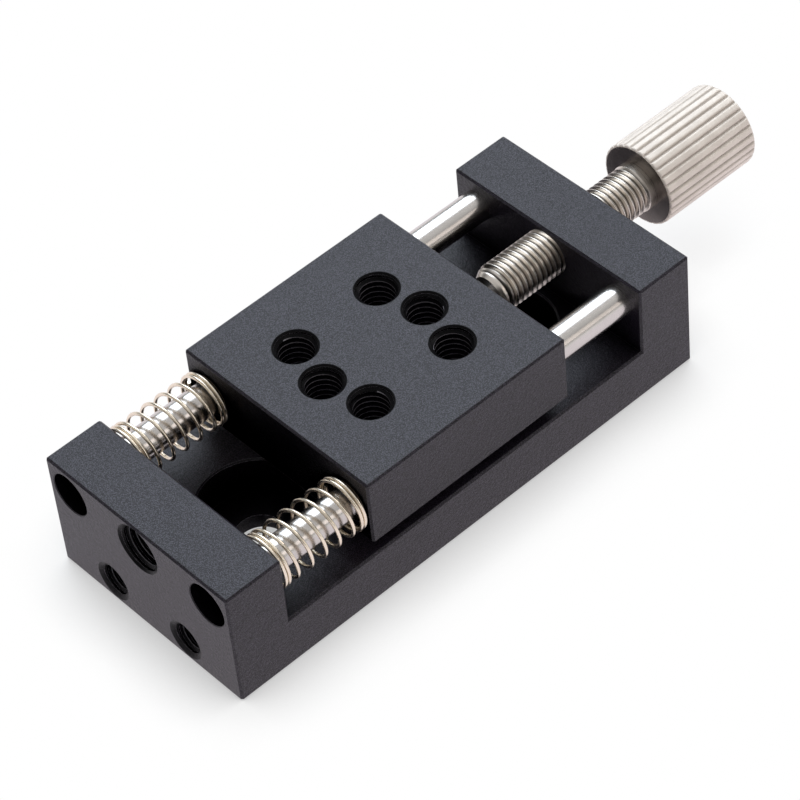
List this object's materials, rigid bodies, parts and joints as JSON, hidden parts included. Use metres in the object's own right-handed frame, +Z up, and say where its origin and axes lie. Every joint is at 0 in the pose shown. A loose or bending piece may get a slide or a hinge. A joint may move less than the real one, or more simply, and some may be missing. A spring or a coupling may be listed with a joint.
{
  "type": "manual linear stage",
  "caption": "Small spring-loaded translation stage: a tapped table on two guide rods in a U-shaped base, moved by a knurled thumbscrew.",
  "frame": {"origin": "centre of the base's underside", "axes": "+X along the travel towards the knob, +Z up out of the table, +Y to the left rod"},
  "size_m": [0.0909, 0.03, 0.0185],
  "materials": {
    "black_anodised": "bead-blasted, black anodised",
    "ground_steel": "ground and polished",
    "spring_wire": "bright drawn wire",
    "hardened_steel": "ground",
    "stainless_steel": "satin",
    "knob_steel": "satin, straight-fluted",
    "black_oxide": "black oxide",
    "bearing_bronze": "satin"
  },
  "bodies": {
    "base": {"base_block": "black_anodised", "guide_rod_left": "ground_steel", "guide_rod_right": "ground_steel", "rod_lock_screw_front_left": "black_oxide", "rod_lock_screw_front_right": "black_oxide", "rod_lock_screw_rear_left": "black_oxide", "rod_lock_screw_rear_right": "black_oxide", "return_spring_left": "spring_wire", "return_spring_right": "spring_wire"},
    "carriage": {"carriage_block": "black_anodised", "slide_bush_front_left": "bearing_bronze", "slide_bush_rear_left": "bearing_bronze", "slide_bush_front_right": "bearing_bronze", "slide_bush_rear_right": "bearing_bronze", "thrust_pad": "hardened_steel"},
    "screw": {"feed_screw": "stainless_steel", "tip_pin": "hardened_steel", "thumb_knob": "knob_steel"}
  },
  "joints": [
    {"name": "screw_turn", "type": "hinge", "parent": "carriage", "child": "screw", "pos_m": [0.0418, 0, 0.01315], "axis": [1, 0, 0], "range_deg": [-2593, 5401]},
    {"name": "carriage_slide", "type": "slide", "parent": "base", "child": "carriage", "axis": [1, 0, 0], "range_m": [-0.0054, 0.01125], "deforming": ["return_spring_left", "return_spring_right"]}
  ],
  "couplings": [
    {"joint": "screw_turn", "follows": "carriage_slide", "rad_per_m": 8377.6}
  ]
}
